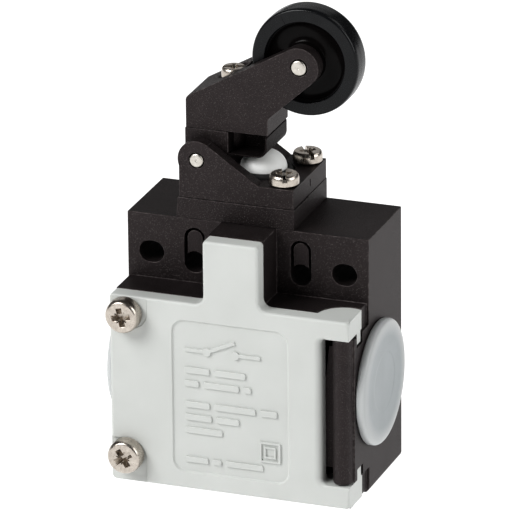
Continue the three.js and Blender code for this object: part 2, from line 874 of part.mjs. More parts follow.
// ---- assembly ----
function placeEnclosure() {
  place("enclosure_base", enclosureBase(), "housing");
  place("slot_insert_left", slotInsert(-1), "housing");
  place("slot_insert_right", slotInsert(1), "housing");
  place("entry_plug_left", turnedSide(entryPlug(), -1, ENTRY_Y, ENTRY_Z, 40), "plug");
  place("entry_plug_right", turnedSide(entryPlug(), 1, ENTRY_Y, ENTRY_Z, 40), "plug");
  place("enclosure_cover", enclosureCover(), "cover");
  place("cover_seal", sealRing(0.6, 0.6, -27.7, COVER_BACK_Y), "rubber");
  place("hinge_pin", cylinderZ(HINGE_X, HINGE_Y, 0.8, 2, 38, 16), "spring");
  place("cover_screw_upper", coverScrew("upper"), "screw");
  place("cover_screw_lower", coverScrew("lower"), "screw");
}

function placeHead() {
  place("head_base", headBase(), "housing");
  place("head_gasket", flatRing(3.7, 4.7, 52.2, 53.1), "rubber");
  place("head_bracket", headBracket(), "housing");
  place("head_screw_front", headScrew(HEAD_SCREW.front), "screw");
  place("head_screw_rear", headScrew(HEAD_SCREW.rear), "screw");
  place("plunger", plunger(), "white");
  place("plunger_wiper", wiperRing(), "rubber");
  place("plunger_spring", spring(0, PLUNGER_Y, 55.3, 61.2, 3.2, 0.6, 4, 14), "spring");
}

function placeLever() {
  const pivotPin = pin(PIVOT.x, PIVOT.z, PIVOT.r, -19.7, -0.1, 0.3);
  place("pivot_pin", pivotPin, "screw");
  place("lever_arm", leverArm(), "housing");
  place("roller_fork", rollerFork(), "housing");
  place("fork_screw", forkScrew(), "screw");
  const axle = pin(AXLE.x, AXLE.z, AXLE.r, LEVER_Y[0] - 0.3, LEVER_Y[1] + 0.3, 0.3);
  place("roller_axle", axle, "screw");
  place("roller", roller(), "roller");
}

function placeContacts() {
  place("contact_housing", contactHousing(), "housing");
  place("contact_carrier", carrier(), "carrier");
  place("contact_spring", spring(0, PLUNGER_Y, 6.5, 12.7, 1.4, 0.5, 5, 10), "spring");
  for (const kind of ["nc", "no"]) {
    place(`bridge_${kind}`, bridge(kind), "brass");
    place(`bridge_spring_${kind}`, bridgeSpring(kind), "spring");
    for (const [side, word] of [
      [-1, "left"],
      [1, "right"],
    ]) {
      place(`fixed_contact_${kind}_${word}`, fixedContact(kind, side), "brass");
      place(`terminal_clamp_${kind}_${word}`, terminalClamp(kind, side), "silver");
      place(`terminal_screw_${kind}_${word}`, terminalScrew(kind, side), "screw");
    }
  }
}

placeEnclosure();
placeHead();
placeLever();
placeContacts();

export default group;
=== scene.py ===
"""A limit switch with a roller lever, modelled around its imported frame.

Shapes are drawn in millimetres, with heights measured from the underside of the enclosure, and
then moved into the frame's metres by settle().
"""

import math

import bmesh
import bpy
from mathutils import Matrix, Vector


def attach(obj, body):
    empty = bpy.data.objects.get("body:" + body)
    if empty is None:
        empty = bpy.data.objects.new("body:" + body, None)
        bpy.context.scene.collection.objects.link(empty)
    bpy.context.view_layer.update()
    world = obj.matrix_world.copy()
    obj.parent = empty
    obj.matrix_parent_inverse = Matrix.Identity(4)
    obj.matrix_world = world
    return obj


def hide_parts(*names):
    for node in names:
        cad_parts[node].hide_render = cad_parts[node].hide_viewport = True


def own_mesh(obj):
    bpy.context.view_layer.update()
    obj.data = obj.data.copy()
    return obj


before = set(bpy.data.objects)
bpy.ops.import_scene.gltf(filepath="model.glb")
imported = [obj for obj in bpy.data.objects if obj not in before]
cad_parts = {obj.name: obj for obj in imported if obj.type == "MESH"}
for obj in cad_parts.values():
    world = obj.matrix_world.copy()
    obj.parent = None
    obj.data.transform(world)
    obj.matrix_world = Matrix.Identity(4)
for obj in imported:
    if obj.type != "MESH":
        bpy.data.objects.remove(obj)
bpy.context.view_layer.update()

MM = 0.001
FIXING_HEIGHT = 45.2  # the frame's origin, above the underside of the enclosure
TO_FRAME = Matrix.Scale(MM, 4) @ Matrix.Translation((0, 0, -FIXING_HEIGHT))

# ---- sizes shared by several pieces, in millimetres ----
BODY_X = 25  # half the enclosure's width
BODY_DEPTH = 19.5  # of its rear part, up to the slots
BODY_TOP = 53.1
LEDGE_TOP = 39.8  # top of its front part and of the cover's shoulders
RIM_Y = -26.85  # the rim that the cover lies on
COVER_BACK, COVER_FRONT = -27.0, -30.4
FIXING_X, SLOT_X = 20, 11  # outer holes and inner slots, from the middle
ENTRY_Y, ENTRY_Z, ENTRY_R = -15.2, 22.05, 10
HINGE = (22.6, -28)  # x, y
HINGE_LOW, HINGE_HIGH = 5.5, 35.5  # the free length of the hinge bar
BAR_RADIUS = 2.0
PLUNGER_Y = -9.9
HEAD_SPLIT = 57.3  # between the lower and the upper block of the head
BRACKET_TOP = 61.4
PIVOT = (-10.4, 65.3)  # x, z
AXLE = (9.55, 85.4)  # x, z
LEVER_Y = (-15.85, -4.15)
LEVER_MID = -10
LEVER_LOW, LEVER_HIGH = 65.9, 70.52
COVER_SCREWS = {"upper": 36.2, "lower": 6.5}  # z
COVER_SCREW_X = -21.4
HEAD_SCREWS = {"front": -16.6, "rear": -3.1}  # y
HEAD_SCREW_X = 6.7
FORK_SCREW = (-5.9, LEVER_MID)  # x, y
SIDES = ((-1, "left"), (1, "right"))


# ---- camera, light, floor ----
def make_camera():
    """A long lens from the front right and a little above, filled by the switch."""
    azimuth = math.radians(20.252)
    elevation = math.radians(21.234)
    roll = math.radians(0.558)
    target = Vector((0, -12, -0.2)) * MM
    distance, aside, above = 1328.7 * MM, 1.1412 * MM, 0.773 * MM
    right = Vector((math.cos(azimuth), math.sin(azimuth), 0))
    forward = Vector((
        -math.sin(azimuth) * math.cos(elevation),
        math.cos(azimuth) * math.cos(elevation),
        -math.sin(elevation),
    ))
    up = right.cross(forward)
    data = bpy.data.cameras.new("camera")
    data.sensor_width = 36
    data.lens = 478.78
    data.clip_start, data.clip_end = 0.1, 10
    camera = bpy.data.objects.new("camera", data)
    bpy.context.scene.collection.objects.link(camera)
    x_axis = right * math.cos(roll) - up * math.sin(roll)
    y_axis = right * math.sin(roll) + up * math.cos(roll)
    position = target - right * aside - up * above - forward * distance
    turn = Matrix((x_axis, y_axis, -forward)).transposed().to_4x4()
    camera.matrix_world = Matrix.Translation(position) @ turn
    bpy.context.scene.camera = camera


def area_light(name, azimuth, elevation, distance, size, power):
    """A soft box aimed at the switch, in metres, degrees and watts; azimuth 0 is in front."""
    a, e = math.radians(azimuth), math.radians(elevation)
    data = bpy.data.lights.new(name, "AREA")
    data.shape = "RECTANGLE"
    data.size, data.size_y = size
    data.energy = power
    light = bpy.data.objects.new(name, data)
    bpy.context.scene.collection.objects.link(light)
    aim = Vector((0, -12, 0)) * MM
    away = Vector((math.sin(a) * math.cos(e), -math.cos(a) * math.cos(e), math.sin(e)))
    light.location = aim + away * distance
    light.rotation_mode = "QUATERNION"
    light.rotation_quaternion = (-away).to_track_quat("-Z", "Y")


def make_lights():
    area_light("key", -42, 40, 0.9, (0.5, 0.5), 7)
    area_light("right", 86, 26, 0.9, (0.6, 0.6), 3.6)
    area_light("back", 140, 45, 1.0, (0.4, 0.4), 0.7)
    area_light("behind", -160, 24, 1.2, (1.0, 0.6), 0.8)
    world = bpy.data.worlds.new("studio")
    world.use_nodes = True
    background = world.node_tree.nodes["Background"]
    background.inputs["Color"].default_value = (1, 1, 1, 1)
    background.inputs["Strength"].default_value = 0.03
    scene = bpy.context.scene
    scene.world = world
    scene.view_settings.view_transform = "Standard"
    scene.view_settings.look = "Medium High Contrast"


def backdrop_material(name, glow, tone):
    material = bpy.data.materials.new(name)
    material.use_nodes = True
    shader = material.node_tree.nodes["Principled BSDF"]
    shader.inputs["Base Color"].default_value = (tone, tone, tone, 1)
    shader.inputs["Roughness"].default_value = 0.9
    shader.inputs["Specular IOR Level"].default_value = 0
    shader.inputs["Emission Color"].default_value = (1, 1, 1, 1)
    shader.inputs["Emission Strength"].default_value = glow
    return material


def white_floor(gap, half):
    """A square floor in metres, a gap in millimetres below the switch."""
    z = -(FIXING_HEIGHT + gap) * MM
    floor = bpy.data.meshes.new("floor_white")
    corners = [(-half, -half, z), (half, -half, z), (half, half, z), (-half, half, z)]
    floor.from_pydata(corners, [], [(0, 1, 2, 3)])
    floor.materials.append(backdrop_material("floor_white", 0.86, 0.25))
    return floor


def white_dome(radius):
    dome = bpy.data.meshes.new("dome_white")
    bm = bmesh.new()
    bmesh.ops.create_uvsphere(bm, u_segments=48, v_segments=24, radius=radius)
    bm.to_mesh(dome)
    bm.free()
    dome.materials.append(backdrop_material("dome_white", 1, 0))
    return dome


def make_studio():
    """A white floor, and a white dome behind it that only the camera sees."""
    floor = white_floor(0.15, 4)
    dome = white_dome(5)
    for mesh in (floor, dome):
        obj = bpy.data.objects.new(mesh.name, mesh)
        bpy.context.scene.collection.objects.link(obj)
        if mesh == dome:
            obj.visible_diffuse = obj.visible_glossy = obj.visible_shadow = False


# ---- modelling tools ----
def rounded(points, steps=6):
    """Corner points of a polygon whose corners [a, b, radius] are rounded."""
    result = []
    count = len(points)
    for i, point in enumerate(points):
        corner = Vector(point[:2])
        radius = point[2] if len(point) > 2 else 0
        if not radius:
            result.append(corner)
            continue
        before = (Vector(points[i - 1][:2]) - corner).normalized()
        after = (Vector(points[(i + 1) % count][:2]) - corner).normalized()
        half = before.angle(after) / 2
        centre = corner + (before + after).normalized() * radius / math.sin(half)
        start = corner + before * radius / math.tan(half) - centre
        turn = math.pi - 2 * half
        side = 1 if before.x * after.y - before.y * after.x < 0 else -1
        for k in range(steps + 1):
            angle = side * turn * k / steps
            cos, sin = math.cos(angle), math.sin(angle)
            spoke = Vector((start.x * cos - start.y * sin, start.x * sin + start.y * cos))
            result.append(centre + spoke)
    return result


def rectangle(a0, a1, b0, b1, radius=0):
    return [(a0, b0, radius), (a1, b0, radius), (a1, b1, radius), (a0, b1, radius)]


def from_bmesh(name, bm):
    bmesh.ops.remove_doubles(bm, verts=bm.verts, dist=1e-5)
    bmesh.ops.recalc_face_normals(bm, faces=bm.faces)
    mesh = bpy.data.meshes.new(name)
    bm.to_mesh(mesh)
    bm.free()
    obj = bpy.data.objects.new(name, mesh)
    bpy.context.scene.collection.objects.link(obj)
    return obj


PLACE = {
    "X": lambda a, b, level: (level, a, b),
    "Y": lambda a, b, level: (a, level, b),
    "Z": lambda a, b, level: (a, b, level),
}


def prism(points, low, high, axis="Y", steps=6, taper=0):
    """An outline pushed along an axis; the outline is in the other two axes, in order."""
    loop = rounded(points, steps)
    centre = sum(loop, Vector((0, 0))) / len(loop)
    bm = bmesh.new()
    rings = []
    for level, scale in ((low, 1), (high, 1 - taper)):
        ring = []
        for point in loop:
            a, b = centre + (point - centre) * scale
            ring.append(bm.verts.new(PLACE[axis](a, b, level)))
        rings.append(ring)
    bm.faces.new(rings[0])
    bm.faces.new(rings[1])
    for i in range(len(loop)):
        j = (i + 1) % len(loop)
        bm.faces.new((rings[0][i], rings[0][j], rings[1][j], rings[1][i]))
    return from_bmesh("prism", bm)


def block(x0, x1, y0, y1, z0, z1):
    return prism(rectangle(x0, x1, z0, z1), y0, y1)


def turned(profile, axis="Z", centre=(0, 0), segments=96, sign=1):
    """A turned solid from (radius, height) points; centre is in the other two axes."""
    bm = bmesh.new()
    rings = []
    for radius, height in profile:
        if radius < 1e-6:
            place = PLACE[axis](centre[0], centre[1], sign * height)
            rings.append([bm.verts.new(place)])
            continue
        ring = []
        for k in range(segments):
            angle = 2 * math.pi * k / segments
            a = centre[0] + radius * math.cos(angle)
            b = centre[1] + radius * math.sin(angle)
            ring.append(bm.verts.new(PLACE[axis](a, b, sign * height)))
        rings.append(ring)
    pairs = list(zip(rings, rings[1:]))
    if len(rings[0]) > 1:
        pairs.append((rings[-1], rings[0]))
    for lower, upper in pairs:
        for k in range(segments):
            n = (k + 1) % segments
            if len(lower) == 1 and len(upper) == 1:
                break
            if len(lower) == 1:
                bm.faces.new((lower[0], upper[k], upper[n]))
            elif len(upper) == 1:
                bm.faces.new((lower[k], lower[n], upper[0]))
            else:
                bm.faces.new((lower[k], lower[n], upper[n], upper[k]))
    return from_bmesh("turned", bm)


def cylinder(axis, centre, radius, low, high, segments=64):
    profile = [(0, low), (radius, low), (radius, high), (0, high)]
    return turned(profile, axis, centre, segments)


def arc(centre, radius, start, end, steps):
    """Points on an arc; angles in degrees."""
    points = []
    for k in range(steps + 1):
        angle = math.radians(start + (end - start) * k / steps)
        a = centre[0] + radius * math.cos(angle)
        points.append((a, centre[1] + radius * math.sin(angle)))
    return points


def pillow(points, back, front, rounding, steps=5, round_steps=6):
    """A plate in the XZ plane with a rounded front edge; rounding(point) is its radius there."""
    loop = rounded(points, round_steps)
    count = len(loop)
    turns = [a.x * b.y - b.x * a.y for a, b in zip(loop, loop[1:] + loop[:1])]
    if sum(turns) < 0:
        loop.reverse()
    inwards = []
    for i, point in enumerate(loop):
        before = (point - loop[i - 1]).normalized()
        after = (loop[(i + 1) % count] - point).normalized()
        normal = Vector((-before.y - after.y, before.x + after.x))
        inwards.append(normal / (1 + before.dot(after)))
    bm = bmesh.new()
    rings = [[bm.verts.new((p.x, back, p.y)) for p in loop]]
    for k in range(steps + 1):
        angle = math.radians(90 * k / steps)
        ring = []
        for point, inward in zip(loop, inwards):
            radius = rounding(point)
            x, z = point + inward * radius * (1 - math.cos(angle))
            ring.append(bm.verts.new((x, front + radius * (1 - math.sin(angle)), z)))
        rings.append(ring)
    bm.faces.new(rings[0])
    bm.faces.new(rings[-1])
    for lower, upper in zip(rings, rings[1:]):
        for i in range(count):
            j = (i + 1) % count
            bm.faces.new((lower[i], lower[j], upper[j], upper[i]))
    return from_bmesh("pillow", bm)


def tube(path, radius, side, closed=False, sides=10):
    """A round wire along a path; side(k) is a direction across the wire at point k."""
    bm = bmesh.new()
    rings = []
    count = len(path)
    for k, point in enumerate(path):
        before = path[k - 1] if closed or k else point
        after = path[(k + 1) % count] if closed or k < count - 1 else point
        tangent = (after - before).normalized()
        across = side(k)
        across = (across - tangent * across.dot(tangent)).normalized()
        over = tangent.cross(across)
        ring = []
        for n in range(sides):
            angle = 2 * math.pi * n / sides
            offset = across * math.cos(angle) + over * math.sin(angle)
            ring.append(bm.verts.new(point + offset * radius))
        rings.append(ring)
    pairs = list(zip(rings, rings[1:]))
    if closed:
        pairs.append((rings[-1], rings[0]))
    else:
        bm.faces.new(rings[0])
        bm.faces.new(rings[-1])
    for lower, upper in pairs:
        for n in range(sides):
            m = (n + 1) % sides
            bm.faces.new((lower[n], lower[m], upper[m], upper[n]))
    return from_bmesh("tube", bm)


def coil(centre, low, high, radius, wire, turns, per_turn=28):
    """A compression spring with closed ends, standing on the Z axis."""
    steps = round(turns * per_turn)
    dead = 0.75
    rise = high - low - wire
    flat = dead * wire * 1.05
    pitch = (rise - 2 * flat) / (turns - 2 * dead)
    path, spokes = [], []
    for k in range(steps + 1):
        turn = turns * k / steps
        angle = 2 * math.pi * turn
        first = min(turn, dead)
        last = max(0, turn - (turns - dead))
        height = (first + last) / dead * flat + (turn - first - last) * pitch
        spoke = Vector((math.cos(angle), math.sin(angle), 0))
        spokes.append(spoke)
        middle = Vector((centre[0], centre[1], low + wire / 2 + height))
        path.append(middle + spoke * (radius - wire / 2))
    return tube(path, wire / 2, lambda k: spokes[k])


def bake(obj):
    """Replaces the mesh by what its modifiers make of it."""
    graph = bpy.context.evaluated_depsgraph_get()
    made = obj.evaluated_get(graph)
    mesh = bpy.data.meshes.new_from_object(
        made, preserve_all_data_layers=True, depsgraph=graph
    )
    obj.modifiers.clear()
    old = obj.data
    obj.data = mesh
    bpy.data.meshes.remove(old)
    return obj


def combine(target, tools, operation):
    for tool in tools:
        modifier = target.modifiers.new("solid", "BOOLEAN")
        modifier.operation = operation
        modifier.solver = "MANIFOLD"
        modifier.object = tool
    bake(target)
    for tool in tools:
        bpy.data.objects.remove(tool)
    return target


def joined(target, *tools):
    return combine(target, tools, "UNION")


def cut(target, *tools):
    return combine(target, tools, "DIFFERENCE")


def common(target, *tools):
    return combine(target, tools, "INTERSECT")


EDGE = "edge"  # the attribute that marks rounded edges


def bevelled(obj, width, segments=2, angle=32):
    """Rounds the edges sharper than an angle, inside the box that the piece already fills."""
    corners = [Vector(corner) for corner in obj.bound_box]
    low = [min(corner[i] for corner in corners) for i in range(3)]
    high = [max(corner[i] for corner in corners) for i in range(3)]
    modifier = obj.modifiers.new("edges", "BEVEL")
    modifier.width = width
    modifier.segments = segments
    modifier.limit_method = "ANGLE"
    modifier.angle_limit = math.radians(angle)
    modifier.use_clamp_overlap = False
    modifier.face_strength_mode = "FSTR_ALL"
    obj.data.materials.append(None)
    obj.data.materials.append(None)
    modifier.material = 1  # so that mark_edges() can tell the bevel's own faces
    bake(obj)
    for vertex in obj.data.vertices:
        vertex.co = [min(max(vertex.co[i], low[i]), high[i]) for i in range(3)]
    mark_edges(obj.data)
    return obj


def mark_edges(mesh):
    """Turns the material index that the bevel gave its own faces into an attribute."""
    edge = mesh.attributes.new(EDGE, "FLOAT", "FACE")
    edge.data.foreach_set("value", [float(face.material_index) for face in mesh.polygons])
    mesh.polygons.foreach_set("material_index", [0] * len(mesh.polygons))
    mesh.materials.clear()


def smoothed(obj, angle=50):
    """Shades the piece smoothly, with the normals of its flat faces kept flat."""
    for face in obj.data.polygons:
        face.use_smooth = True
    obj.data.set_sharp_from_angle(angle=math.radians(angle))
    modifier = obj.modifiers.new("normals", "WEIGHTED_NORMAL")
    modifier.keep_sharp = True
    modifier.use_face_influence = True
    return bake(obj)


def settle(obj, name, body, material, slot, *nodes):
    """Moves a finished piece into the frame, names it, gives it its material and body, and hides the
    CAD nodes that it replaces.
    """
    obj.data.transform(TO_FRAME)
    obj.name = obj.data.name = name
    obj.data.materials.clear()
    obj.data.materials.append(material)
    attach(obj, body)
    if nodes:
        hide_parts(*nodes)


def copy_of(node):
    """A CAD node's mesh as a new object, in this file's millimetres."""
    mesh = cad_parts[node].data.copy()
    mesh.transform(TO_FRAME.inverted())
    mesh.materials.clear()
    obj = bpy.data.objects.new(node, mesh)
    bpy.context.scene.collection.objects.link(obj)
    return obj


# ---- materials ----
class Surface:
    """A node material with one Principled shader and textures laid out in object space."""

    def __init__(self, name, **sockets):
        self.material = bpy.data.materials.new(name)
        self.material.use_nodes = True
        self.tree = self.material.node_tree
        self.shader = self.tree.nodes["Principled BSDF"]
        for socket, value in sockets.items():
            self.shader.inputs[socket.replace("_", " ")].default_value = value
        self.where = self.tree.nodes.new("ShaderNodeTexCoord").outputs["Object"]

    def node(self, kind, **settings):
        made = self.tree.nodes.new(kind)
        for key, value in settings.items():
            setattr(made, key, value)
        return made

    def link(self, out, into):
        self.tree.links.new(out, into)

    def noise(self, size, detail=2, roughness=0.5):
        """Noise whose features are about size millimetres across."""
        made = self.node("ShaderNodeTexNoise")
        made.inputs["Scale"].default_value = 1 / (size * MM)
        made.inputs["Detail"].default_value = detail
        made.inputs["Roughness"].default_value = roughness
        self.link(self.where, made.inputs["Vector"])
        return made.outputs["Fac"]

    def edges_worn_and_highlit(self, base, pale, low, high):
        """The base colour, paler in patches along the rounded edges: partly rubbed wear, partly a
        painted highlight on the edges.
        """
        edge = self.node("ShaderNodeAttribute", attribute_name=EDGE)
        patches = self.spread(self.noise(0.9, 4, 0.65), low, high)
        both = self.node("ShaderNodeMath", operation="MULTIPLY")
        self.link(edge.outputs["Fac"], both.inputs[0])
        self.link(patches, both.inputs[1])
        return self.mix(both.outputs["Value"], base, pale)

    def off_axis(self, centre):
        """Distance in millimetres from a line along X; centre is in the frame's directions."""
        flat = self.node("ShaderNodeVectorMath", operation="MULTIPLY")
        flat.inputs[1].default_value = (0, 1 / MM, 1 / MM)
        self.link(self.where, flat.inputs[0])
        reach = self.node("ShaderNodeVectorMath", operation="DISTANCE")
        reach.inputs[1].default_value = centre
        self.link(flat.outputs["Vector"], reach.inputs[0])
        return reach.outputs["Value"]

    def spread(self, value, low, high, to_low=0, to_high=1):
        made = self.node("ShaderNodeMapRange")
        made.inputs["From Min"].default_value = low
        made.inputs["From Max"].default_value = high
        made.inputs["To Min"].default_value = to_low
        made.inputs["To Max"].default_value = to_high
        self.link(value, made.inputs["Value"])
        return made.outputs["Result"]

    def mix(self, factor, first, second):
        made = self.node("ShaderNodeMix", data_type="RGBA")
        for socket, value in ((made.inputs[6], first), (made.inputs[7], second)):
            if hasattr(value, "links"):
                self.link(value, socket)
            else:
                socket.default_value = (*value, 1)
        self.link(factor, made.inputs["Factor"])
        return made.outputs[2]

    def blend(self, value, first, second):
        """Two colours, mixed by the middle range of a noise."""
        return self.mix(self.spread(value, 0.3, 0.7), first, second)

    def color(self, value):
        self.link(value, self.shader.inputs["Base Color"])

    def roughness(self, value, low, high):
        """Roughness between two limits, by the middle range of a noise."""
        self.link(self.spread(value, 0.3, 0.7, low, high), self.shader.inputs["Roughness"])

    def milky(self, weight, scale_mm):
        """Light goes in and comes out near by, the same for every colour."""
        self.shader.inputs["Subsurface Weight"].default_value = weight
        self.shader.inputs["Subsurface Radius"].default_value = (1.0, 1.0, 1.0)
        self.shader.inputs["Subsurface Scale"].default_value = scale_mm * MM

    def bump(self, *layers):
        """Layers of (height, depth in millimetres)."""
        normal = None
        for height, depth in layers:
            made = self.node("ShaderNodeBump")
            made.inputs["Distance"].default_value = depth * MM
            made.inputs["Strength"].default_value = 1
            self.link(height, made.inputs["Height"])
            if normal:
                self.link(normal, made.inputs["Normal"])
            normal = made.outputs["Normal"]
        self.link(normal, self.shader.inputs["Normal"])


FLECK = (0.06, 0.054, 0.053)
# Pale colour for the rounded edges: partly rubbed wear, partly a painted highlight on the edges.
EDGE_WEAR_AND_HIGHLIGHT = (0.09, 0.08, 0.078)


def dark_plastic(name, low, high, specular=0.45, depth=0.05, fleck=FLECK, edge_wear_and_highlight=EDGE_WEAR_AND_HIGHLIGHT):
    """Glass-filled black plastic: cloudy, finely grained, with pale flecks, and edges paler in patches,
    partly rubbed wear and partly a painted highlight.
    """
    surface = Surface(name, Roughness=0.5, Specular_IOR_Level=specular)
    surface.shader.inputs["Specular Tint"].default_value = (1, 0.87, 0.88, 1)
    cloud = surface.noise(3.5, 4, 0.6)
    grain = surface.noise(0.2, 3, 0.65)
    spots = surface.noise(0.2, 1)
    base = surface.mix(surface.spread(cloud, 0.35, 0.65), low, high)
    speckled = surface.mix(surface.spread(spots, 0.58, 0.74), base, fleck)
    surface.color(surface.edges_worn_and_highlit(speckled, edge_wear_and_highlight, 0.42, 0.7))
    surface.roughness(grain, 0.42, 0.64)
    surface.bump((grain, depth), (spots, 0.02))
    return surface.material


def cover_plastic():
    surface = Surface("cover_plastic", Roughness=0.45)
    cloud = surface.noise(9, 3)
    grain = surface.noise(0.3, 3, 0.6)
    surface.color(surface.blend(cloud, (0.545, 0.56, 0.54), (0.575, 0.59, 0.57)))
    surface.roughness(grain, 0.4, 0.52)
    surface.bump((grain, 0.006))
    return surface.material


def plug_plastic():
    """Milky, with painted light: darker over the bore behind its thin face, paler towards the rim, and
    a painted highlight on the rim's side against the shade there.
    """
    surface = Surface("plug_plastic", Roughness=0.32)
    surface.milky(0.8, 2.5)
    radius = surface.off_axis((0, ENTRY_Y, ENTRY_Z - FIXING_HEIGHT))
    # Painted light: the face darker over the bore behind it, paler towards the rim.
    rim = surface.spread(radius, 9.2, 11.8)
    # Painted highlight on the rim's side, against the shade that falls there.
    side = surface.spread(radius, 12.2, 12.6)
    face = surface.blend(surface.noise(6, 2), (0.262, 0.285, 0.295), (0.29, 0.315, 0.325))
    whole = surface.mix(rim, face, (0.42, 0.435, 0.435))
    surface.color(surface.mix(side, whole, (0.52, 0.535, 0.535)))
    surface.bump((surface.noise(0.5, 2), 0.01))
    return surface.material


def white_plastic():
    surface = Surface("plunger_plastic", Roughness=0.42)
    surface.milky(0.4, 1.2)
    surface.color(surface.blend(surface.noise(2, 2), (0.86, 0.87, 0.85), (0.9, 0.91, 0.89)))
    surface.bump((surface.noise(0.4, 2), 0.004))
    return surface.material


def carrier_plastic():
    surface = Surface("carrier_plastic", Roughness=0.45)
    surface.color(surface.blend(surface.noise(2, 3), (0.26, 0.035, 0.028), (0.33, 0.05, 0.04)))
    surface.bump((surface.noise(0.25, 2), 0.01))
    return surface.material


def roller_plastic(name, specular, rough, low, high):
    surface = Surface(name, Roughness=0.25, Specular_IOR_Level=specular)
    grain = surface.noise(0.2, 2)
    surface.color(surface.blend(surface.noise(2.5, 3), low, high))
    surface.roughness(grain, *rough)
    surface.bump((grain, 0.003))
    return surface.material


def rubber():
    surface = Surface("seal_rubber", Roughness=0.8)
    surface.color(surface.blend(surface.noise(1.2, 3), (0.008, 0.008, 0.008), (0.016, 0.016, 0.016)))
    surface.bump((surface.noise(0.2, 2), 0.02))
    return surface.material


def metal(name, low, high, rough=(0.24, 0.36)):
    surface = Surface(name, Metallic=1.0)
    grain = surface.noise(0.35, 3, 0.6)
    surface.color(surface.blend(surface.noise(0.9, 4, 0.6), low, high))
    surface.roughness(grain, *rough)
    surface.bump((grain, 0.0012))
    return surface.material


make_camera()
make_lights()
make_studio()

HOUSING = dark_plastic("housing_plastic", (0.006, 0.0044, 0.0044), (0.0105, 0.008, 0.008))
HEAD = dark_plastic(
    "head_plastic", (0.0045, 0.0032, 0.0032), (0.008, 0.006, 0.006),
    specular=0.42, depth=0.065, fleck=(0.11, 0.1, 0.1),
)
# A darker copy of the housing plastic, its edges kept at the darkest tone: painted shade for the shoe
# under the fork.
SHOE_PAINTED_SHADE = dark_plastic(
    "shoe_plastic_painted_shade", (0.004, 0.003, 0.003), (0.007, 0.0055, 0.0055),
    specular=0.16, edge_wear_and_highlight=(0.004, 0.003, 0.003),
)
BLOCK = dark_plastic("block_plastic", (0.02, 0.02, 0.021), (0.028, 0.028, 0.029))
COVER = cover_plastic()
PLUG = plug_plastic()
WHITE = white_plastic()
CARRIER = carrier_plastic()
ROLLER = roller_plastic(
    "roller_plastic", 0.24, (0.2, 0.3), (0.0056, 0.006, 0.0067), (0.0087, 0.0093, 0.0103)
)
# A darker, glossier copy of the roller plastic for the web: painted shade for the recess within the
# tyre.
WEB_PAINTED_SHADE = roller_plastic(
    "roller_web_plastic_painted_shade", 0.09, (0.12, 0.18), (0.0035, 0.003, 0.003), (0.0055, 0.0045, 0.0045)
)
RUBBER = rubber()
SCREW = metal("screw_nickel", (0.44, 0.395, 0.35), (0.62, 0.57, 0.51))
PIN = metal("pin_steel", (0.55, 0.52, 0.47), (0.7, 0.67, 0.62), (0.3, 0.45))
SPRING = metal("spring_wire", (0.45, 0.45, 0.44), (0.6, 0.6, 0.58))
BRASS = metal("contact_brass", (0.55, 0.38, 0.16), (0.7, 0.52, 0.25), (0.25, 0.4))
CLAMP = metal("clamp_zinc", (0.55, 0.56, 0.56), (0.68, 0.68, 0.67), (0.28, 0.42))


# ---- enclosure ----
def fixing_tools():
    """The outer holes and the inner slots, which go right through."""
    tools = []
    for side, _ in SIDES:
        x = side * FIXING_X
        tools.append(prism(rectangle(x - 2.55, x + 2.55, 43, 47.4, 2.19), -30, 5, steps=12))
        x = side * SLOT_X
        tools.append(prism(rectangle(x - 2.1, x + 2.1, 41.9, 51.1, 2.0), -30, 5, steps=10))
    return tools


def screw_holes(radius, low, high, segments):
    """Upright holes for the two head screws."""
    places = [(HEAD_SCREW_X, y) for y in HEAD_SCREWS.values()]
    return [cylinder("Z", place, radius, low, high, segments) for place in places]


def witness_mark(x, z, radius, surface):
    """A fine ring such as an ejector pin leaves, lying on the surface y = surface(x)."""
    circle = arc((x, z), radius, 0, 360, 48)[:-1]
    path = [Vector((a, surface(a), b)) for a, b in circle]
    return tube(path, 0.07, lambda k: Vector((0, 1, 0)), closed=True, sides=6)


def make_witness_marks():
    sunk = 0.02

    def bar_front(x):
        return HINGE[1] - math.sqrt(max(0.0, (BAR_RADIUS - sunk) ** 2 - (x - HINGE[0]) ** 2))

    rings = [witness_mark(x, 42.5, 1.8, lambda _: -BODY_DEPTH + 0.03) for x in (-15.1, 16.4)]
    rings += [witness_mark(22.9, z, 1.7, bar_front) for z in (29.2, 13.0)]
    for number, ring in enumerate(rings, 1):
        smoothed(ring)
        settle(ring, f"moulding_mark_{number}", "base", HOUSING, "housing_plastic")


def base_blank():
    """The rear part, the front part, the hinge side and the tongue, in one solid."""
    bottom, overlap = 1.2, -18
    rear = [(-BODY_X, 0, bottom), (BODY_X, 0, bottom), (BODY_X, BODY_TOP), (-BODY_X, BODY_TOP)]
    front = [(-24.7, 0, bottom), (24.4, 0, bottom), (24.4, LEDGE_TOP), (-24.7, LEDGE_TOP)]
    return joined(
        prism(rear, -BODY_DEPTH, 0),
        prism(front, RIM_Y, overlap),
        block(20, BODY_X, RIM_Y, overlap, HINGE_LOW, HINGE_HIGH),
        block(-5.5, 6, RIM_Y, overlap, 38, BODY_TOP),
    )


def base_tools():
    """What is taken out of the blank: hinge cutouts, chamber, plunger bore, entries, fixings."""
    back_wall, before = -2.6, -40
    return [
        cylinder("Z", HINGE, 5.9, HINGE_HIGH, 45),
        cylinder("Z", HINGE, 5.9, -5, HINGE_LOW),
        block(-21.8, -17.6, before, back_wall, 11.2, 31.4),
        block(-17.6, 13, before, back_wall, 3, 36.8),
        block(-4, 4, before, -5.6, 36, 50.6),
        cylinder("Z", (0, PLUNGER_Y), 2.6, 50, 60),
        cylinder("X", (ENTRY_Y, ENTRY_Z), ENTRY_R, 12, 30, 96),
        cylinder("X", (ENTRY_Y, ENTRY_Z), ENTRY_R, -30, -17, 96),
        *fixing_tools(),
    ]


